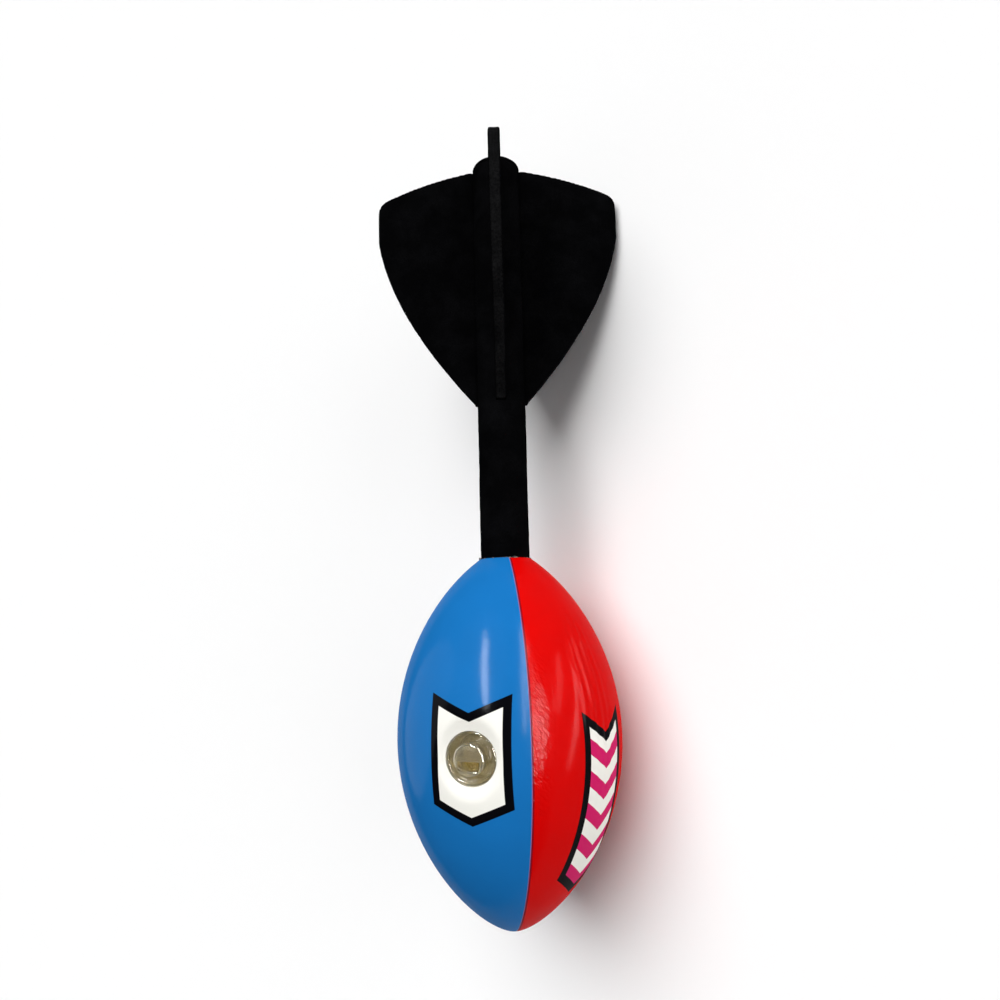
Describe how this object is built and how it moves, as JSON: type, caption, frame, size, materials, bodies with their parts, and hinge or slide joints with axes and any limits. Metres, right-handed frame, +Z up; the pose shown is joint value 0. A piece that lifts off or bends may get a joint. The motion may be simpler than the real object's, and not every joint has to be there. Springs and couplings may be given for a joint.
{
  "type": "vortex throwing toy",
  "caption": "Foam throwing ball shaped like a football, in blue and red halves, with clear whistles in its sides and a finned foam tail.",
  "frame": {"origin": "middle of the underside of the toy's box as it lies at rest on a floor", "axes": "+Z up; +Y from the nose towards the tail; the toy lies on its ball and the corners of two fins, so its own axis slopes 1.9 degrees down towards the tail"},
  "size_m": [0.0764, 0.2694, 0.076],
  "materials": {
    "blue_skin": "glossy blue laminated skin over thin foam",
    "red_skin": "glossy red laminated skin over thin foam",
    "core_foam": "moulded polyurethane foam, cream, matt",
    "tail_foam": "black EVA foam sheet and tube, matt",
    "clear_plastic": "smoky clear moulded polystyrene, polished",
    "white_plastic": "natural polypropylene"
  },
  "bodies": {
    "root": {"foam_core": "core_foam", "blue_cover": "blue_skin", "red_cover": "red_skin", "near_whistle_cup": "clear_plastic", "near_whistle_drum": "clear_plastic", "far_whistle_cup": "clear_plastic", "far_whistle_drum": "clear_plastic", "rod_anchor": "white_plastic", "tail_rod": "white_plastic", "tail_sleeve": "tail_foam", "tail_end_cap": "tail_foam", "right_fin": "tail_foam", "far_fin": "tail_foam", "left_fin": "tail_foam", "near_fin": "tail_foam"}
  },
  "joints": []
}
